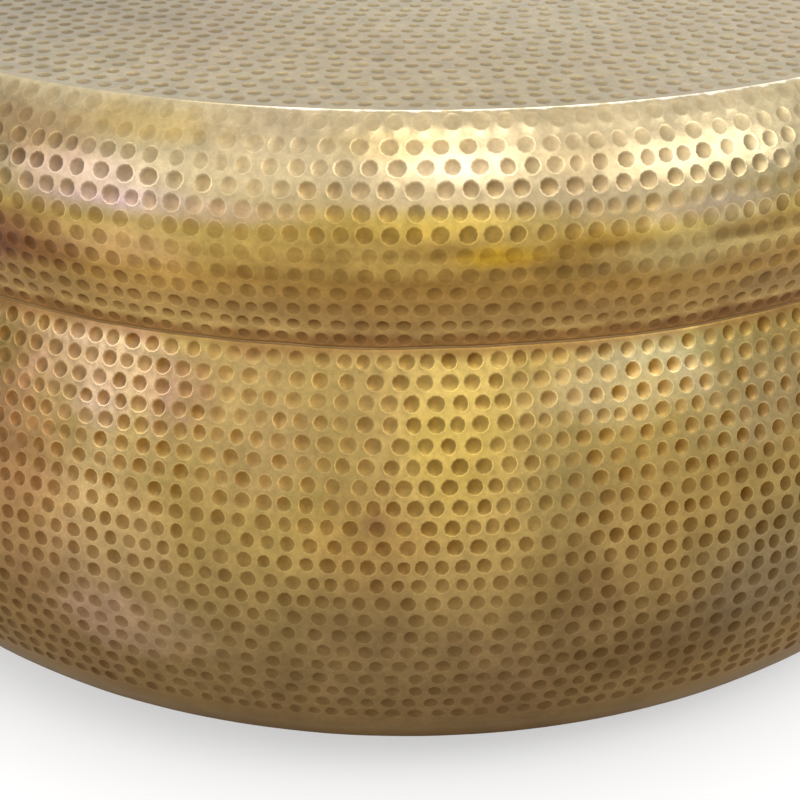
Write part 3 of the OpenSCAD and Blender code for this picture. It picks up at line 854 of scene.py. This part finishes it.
# A bead of brown brazing filler is run with a torch round the crease between the pan and the belly, so
# that no gap shows there.
bead_outline = Outline("bead_outline", [
    (0.4170, 0.2844, 40), (0.4184, 0.2830, 15), (0.4187, waist_z, 0), (0.4184, 0.2800, -15),
    (0.4170, 0.2786, -40)])
bead_steps = 5
bead_rounds = 480
steps = [bead_outline.down[-1] * i / bead_steps for i in range(bead_steps + 1)]
rounds = [blank_r * math.pi * (j / (bead_rounds / 2) - 1) for j in range(bead_rounds + 1)]
verts = [(x, -s, 0) for x in rounds for s in steps]
faces = []
for j in range(bead_rounds):
    for i in range(bead_steps):
        here = len(steps) * j + i
        beyond = here + len(steps)
        faces.append((here + 1, beyond + 1, beyond, here))
filler = plain_metal("brazing_filler", (0.30, 0.19, 0.075), (0.20, 0.12, 0.05), 0.5, 260.0)
bead_play = belly_play | {
    "Mark depth": 0.0, "Wander": 0.0003, "Wander length": 0.004, "Wave height": 0.0005, "Wave length": 0.012,
    "Seed": 2.0,
}
bead = beat(
    mesh_object("bead_blank", verts, faces, free=[1.0] * len(verts)), mesh_object("bead_marks", [], []),
    round_turn, "crease_bead", Punch=punch, Outline=bead_outline.wire, Brass=filler, **bead_play)
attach(bead, "root")

# The pan's flat top is hammered in rings from the edge to the middle and lies on the board. It is drawn
# here as its own disc, which meets the shoulder where the edge starts to turn.
top_r = shoulder_outline.points[0][0]
top_rings = 35
ring_step = 0.0113
mark_step = 0.01255
mark_r = 0.00415
middle_blow = (0, 0, 0.0041, 0.0040, 0.95)
chance = random.Random(55)
top_blows = []
for k in range(top_rings):
    ring = top_r + 0.0022 - ring_step * (k + 1)
    if ring < 0.008:
        top_blows.append(middle_blow)
        break
    wobble = ripple(chance, 0.0011, (3, 5, 8, 13))
    count = round(2 * math.pi * ring / mark_step)
    gaps = [chance.uniform(0.87, 1.13) for _ in range(count)]
    turn = chance.uniform(0, 2 * math.pi)
    for gap in gaps:
        step = gap * 2 * math.pi / sum(gaps)
        turn += step / 2
        out = ring + wobble(turn)
        size = min(mark_r * chance.uniform(0.93, 1.06), 0.43 * step * ring)
        oval = chance.uniform(-0.05, 0.05)
        x, y = out * math.sin(turn), -out * math.cos(turn)
        top_blows.append((x, y, size * (1 + oval), size * (1 - oval), chance.uniform(0.75, 1.1)))
        turn += step / 2


def top_free(x, y):
    """How far the top may wander here: not at all at its edge, where it meets the shoulder."""
    return ease(top_r - math.hypot(x, y), 0.001, 0.02)


edge_sides = 360
turns = [2 * math.pi * j / edge_sides for j in range(edge_sides)]
border = [(top_r * math.sin(t), -top_r * math.cos(t)) for t in turns]
points, land = fill_land(border, top_blows, 8)
verts = [(p.x, p.y, top_z) for p in points]
frees = [top_free(p.x, p.y) for p in points]
faces = [tuple(f) for f in land]
under_rings = (1.0, 0.97, 0.6, 0.2)
under = [len(verts) + edge_sides * i for i in range(len(under_rings))]
for share in under_rings:
    verts += [(x * share, y * share, top_z - sheet) for x, y in border]
verts.append((0, 0, top_z - sheet))
frees += [0.0] * (len(verts) - len(frees))
for j in range(edge_sides):
    n = (j + 1) % edge_sides
    faces.append((under[0] + j, under[0] + n, n, j))
    for a, b in zip(under, under[1:]):
        faces.append((b + j, b + n, a + n, a + j))
    faces.append((len(verts) - 1, under[-1] + n, under[-1] + j))
blank = mesh_object("top_blank", verts, faces, free=frees)
spots = mesh_object(
    "top_marks", [(m[0], m[1], top_z) for m in top_blows], [],
    stretch=[(m[2], m[3], m[4]) for m in top_blows], free=[top_free(m[0], m[1]) for m in top_blows])
top_colour = (0.475, 0.384, 0.214)
top_brass = brass(
    "top_brass", painted_light_levels=((0.39, top_colour), (0.41, top_colour)),
    patina=(0.88, 0.86, 0.84), blush=(0.98, 0.92, 1.0), dip_tint=(0.62, 0.58, 0.52), gloss=0.24,
    graze=(1.0, 1.0, 1.0),
    # Painted shade: the top is darker at the left and a little darker in the middle and at the back.
    stains_and_painted_light=(
        ((-0.26, -0.12, 0.4), 0.28, 0.3, (0.69, 0.68, 0.67)),
        ((0.05, 0.10, 0.4), 0.30, 0.3, (0.88, 0.87, 0.85)),
    ))
top_play = {
    "Mark depth": 0.0005, "Wander": 0.0004, "Wander length": 0.006, "Wave height": 0.0006,
    "Wave length": 0.08, "Drum radius": 20.0, "Seed": 11.0,
}
top_punch = punch_face(8, -0.05, 0.15)
top_face = beat(blank, spots, hammer, "hammered_top", Punch=top_punch, Brass=top_brass, **top_play)
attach(top_face, "root")
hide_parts("top_pan")
for tool in (punch, top_punch, belly_outline.wire, shoulder_outline.wire, bead_outline.wire):
    bpy.data.objects.remove(tool)

# The studio is a plain white floor and a pale room under soft boxes. The camera stands close in front of
# the table, a little above it, and looks down at its near side.
scene = bpy.context.scene
scene.view_settings.view_transform = "Standard"


def studio_white(name, white):
    """A matt floor that stays white to the eye and in the metal, and still takes the table's shadow."""
    finish = bpy.data.materials.new(name)
    finish.use_nodes = True
    nodes = Nodes(finish.node_tree)
    nodes.tree.nodes.clear()
    ray = nodes.add("ShaderNodeLightPath").outputs
    seen = nodes.math("MAXIMUM", ray["Is Camera Ray"], ray["Is Glossy Ray"])
    seen = nodes.math("MAXIMUM", seen, ray["Is Transmission Ray"])
    glow = nodes.math("MULTIPLY", seen, white)
    lit = nodes.add("ShaderNodeEmission", {"Color": (1, 1, 1, 1), "Strength": glow})
    matt = nodes.add("ShaderNodeBsdfDiffuse", {"Color": (0.5, 0.5, 0.5, 1)})
    both = nodes.add("ShaderNodeAddShader", {0: lit.outputs[0], 1: matt.outputs[0]})
    nodes.add("ShaderNodeOutputMaterial", {"Surface": both.outputs[0]})
    return finish


far = 8
corners = [(-far, -far, 0), (far, -far, 0), (far, far, 0), (-far, far, 0)]
floor = mesh_object("studio_floor", corners, [(0, 1, 2, 3)])
floor.data.materials.append(studio_white("studio_floor_white", 0.5))


def soft_box(name, place, aim, size, power, tint=(1, 1, 1)):
    """A rectangular lamp that looks from its place to its aim."""
    lamp = bpy.data.lights.new(name, "AREA")
    lamp.shape = "RECTANGLE"
    lamp.size, lamp.size_y = size
    lamp.energy = power
    lamp.color = tint
    light = bpy.data.objects.new(name, lamp)
    scene.collection.objects.link(light)
    light.location = place
    light.rotation_euler = (Vector(aim) - Vector(place)).to_track_quat("-Z", "Y").to_euler()


soft_box("left_box", (-1.9, -1.6, 1.3), (0, 0, 0.3), (1.2, 1.4), 6, (1.0, 0.97, 0.96))
soft_box("right_box", (1.9, -1.5, 2.2), (0, 0, 0.3), (1.4, 1.1), 14)
soft_box("high_box", (0.30, -1.5, 2.05), (0, 0, 0.35), (0.5, 1.15), 8.6)
soft_box("front_box", (0.40, -2.6, 0.75), (0, 0, 0.25), (0.8, 1.5), 3.9, (1.0, 0.95, 0.85))
soft_box("back_box", (0.1, 1.5, 2.8), (0, 0, 0.4), (1.6, 0.8), 12)

sky = bpy.data.worlds.new("studio_room")
scene.world = sky
sky.use_nodes = True
room = Nodes(sky.node_tree)
room.tree.nodes.clear()
way = room.split(room.add("ShaderNodeTexCoord").outputs["Generated"])
rise = room.spread(way["Z"], -0.05, 0.75, 0.80, 1.25, smooth=True)
left = room.spread(way["X"], -1.0, -0.5, 0.45, 1.0, smooth=True)
right = room.spread(way["X"], 0.5, 1.0, 1.0, 0.7, smooth=True)
level = room.math("MULTIPLY", rise, room.math("MULTIPLY", left, right))
seen = room.add("ShaderNodeLightPath").outputs["Is Camera Ray"]
white = room.add("ShaderNodeMix", {0: seen, 2: level, 3: 1.0}).outputs[0]
pale = room.add("ShaderNodeBackground", {"Color": (1, 1, 1, 1), "Strength": white})
room.add("ShaderNodeOutputWorld", {"Surface": pale.outputs[0]})

camera = bpy.data.objects.new("camera", bpy.data.cameras.new("camera"))
camera.data.lens = 73.2
camera.data.sensor_width = 36
camera.data.clip_start = 0.05
camera.location = (0, -1.1629, 0.6464)
pitch, yaw, roll = math.radians(27.94), math.radians(-0.12), math.radians(0.13)
look = Vector((math.sin(yaw) * math.cos(pitch), math.cos(yaw) * math.cos(pitch), -math.sin(pitch)))
aim = look.to_track_quat("-Z", "Y").to_matrix().to_4x4()
camera.rotation_euler = (aim @ Matrix.Rotation(roll, 4, "Z")).to_euler()
scene.collection.objects.link(camera)
scene.camera = camera
